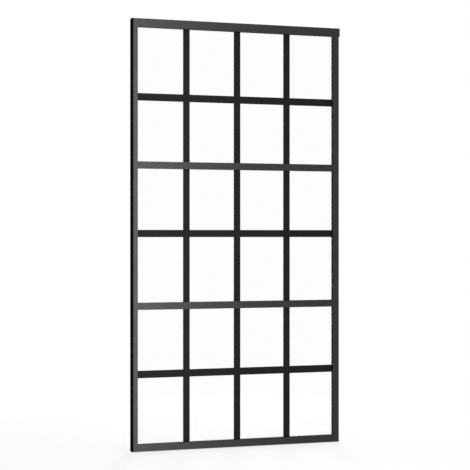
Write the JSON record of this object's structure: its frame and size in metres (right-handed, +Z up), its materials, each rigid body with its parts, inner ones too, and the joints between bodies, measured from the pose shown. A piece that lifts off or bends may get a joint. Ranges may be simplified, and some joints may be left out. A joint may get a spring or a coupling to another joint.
{
  "type": "glass sliding door",
  "caption": "Framed glass sliding-door leaf in dark metal, with flat glazing bars over the panes, a closing seal on one edge and rollers hidden in the bottom rail.",
  "frame": {"origin": "under the middle of the leaf's whole width and thickness, on the plane that the rollers run on", "axes": "+X along the leaf's width away from the closing seal, -Y out of the front face, +Z up"},
  "size_m": [1.034, 0.04, 2.018],
  "materials": {
    "frame": "satin powder coat",
    "bars": "matte powder coat",
    "glass": "clear toughened",
    "rubber": "matte",
    "plastic": "satin",
    "steel": "zinc plated",
    "nylon": "satin"
  },
  "bodies": {
    "leaf": {"left_stile": "frame", "right_stile": "frame", "top_rail": "frame", "bottom_rail": "frame", "lower_mid_rail": "frame", "upper_mid_rail": "frame", "lower_left_bead": "frame", "lower_right_bead": "frame", "lower_bottom_bead": "frame", "lower_top_bead": "frame", "middle_left_bead": "frame", "middle_right_bead": "frame", "middle_bottom_bead": "frame", "middle_top_bead": "frame", "upper_left_bead": "frame", "upper_right_bead": "frame", "upper_bottom_bead": "frame", "upper_top_bead": "frame", "lower_front_cross_bar": "bars", "lower_back_cross_bar": "bars", "middle_front_cross_bar": "bars", "middle_back_cross_bar": "bars", "upper_front_cross_bar": "bars", "upper_back_cross_bar": "bars", "lower_front_bar_1": "bars", "lower_front_bar_2": "bars", "lower_front_bar_3": "bars", "lower_back_bar_1": "bars", "lower_back_bar_2": "bars", "lower_back_bar_3": "bars", "middle_front_bar_1": "bars", "middle_front_bar_2": "bars", "middle_front_bar_3": "bars", "middle_back_bar_1": "bars", "middle_back_bar_2": "bars", "middle_back_bar_3": "bars", "upper_front_bar_1": "bars", "upper_front_bar_2": "bars", "upper_front_bar_3": "bars", "upper_back_bar_1": "bars", "upper_back_bar_2": "bars", "upper_back_bar_3": "bars", "lower_glass": "glass", "middle_glass": "glass", "upper_glass": "glass", "lower_gasket": "rubber", "middle_gasket": "rubber", "upper_gasket": "rubber", "closing_seal": "rubber", "stile_plugs": "plastic", "screw_plugs": "plastic", "top_end_cap": "plastic", "left_roller_bracket": "steel", "right_roller_bracket": "steel", "roller_axles": "steel", "roller_screws": "steel", "frame_screws": "steel"},
    "left_wheel": {"left_roller_wheel": "nylon"},
    "right_wheel": {"right_roller_wheel": "nylon"}
  },
  "joints": [
    {"name": "left_wheel_spin", "type": "hinge", "parent": "leaf", "child": "left_wheel", "pos_m": [-0.4, 0, 0.009], "axis": [0, 1, 0], "continuous": true},
    {"name": "right_wheel_spin", "type": "hinge", "parent": "leaf", "child": "right_wheel", "pos_m": [0.402, 0, 0.009], "axis": [0, 1, 0], "continuous": true}
  ]
}
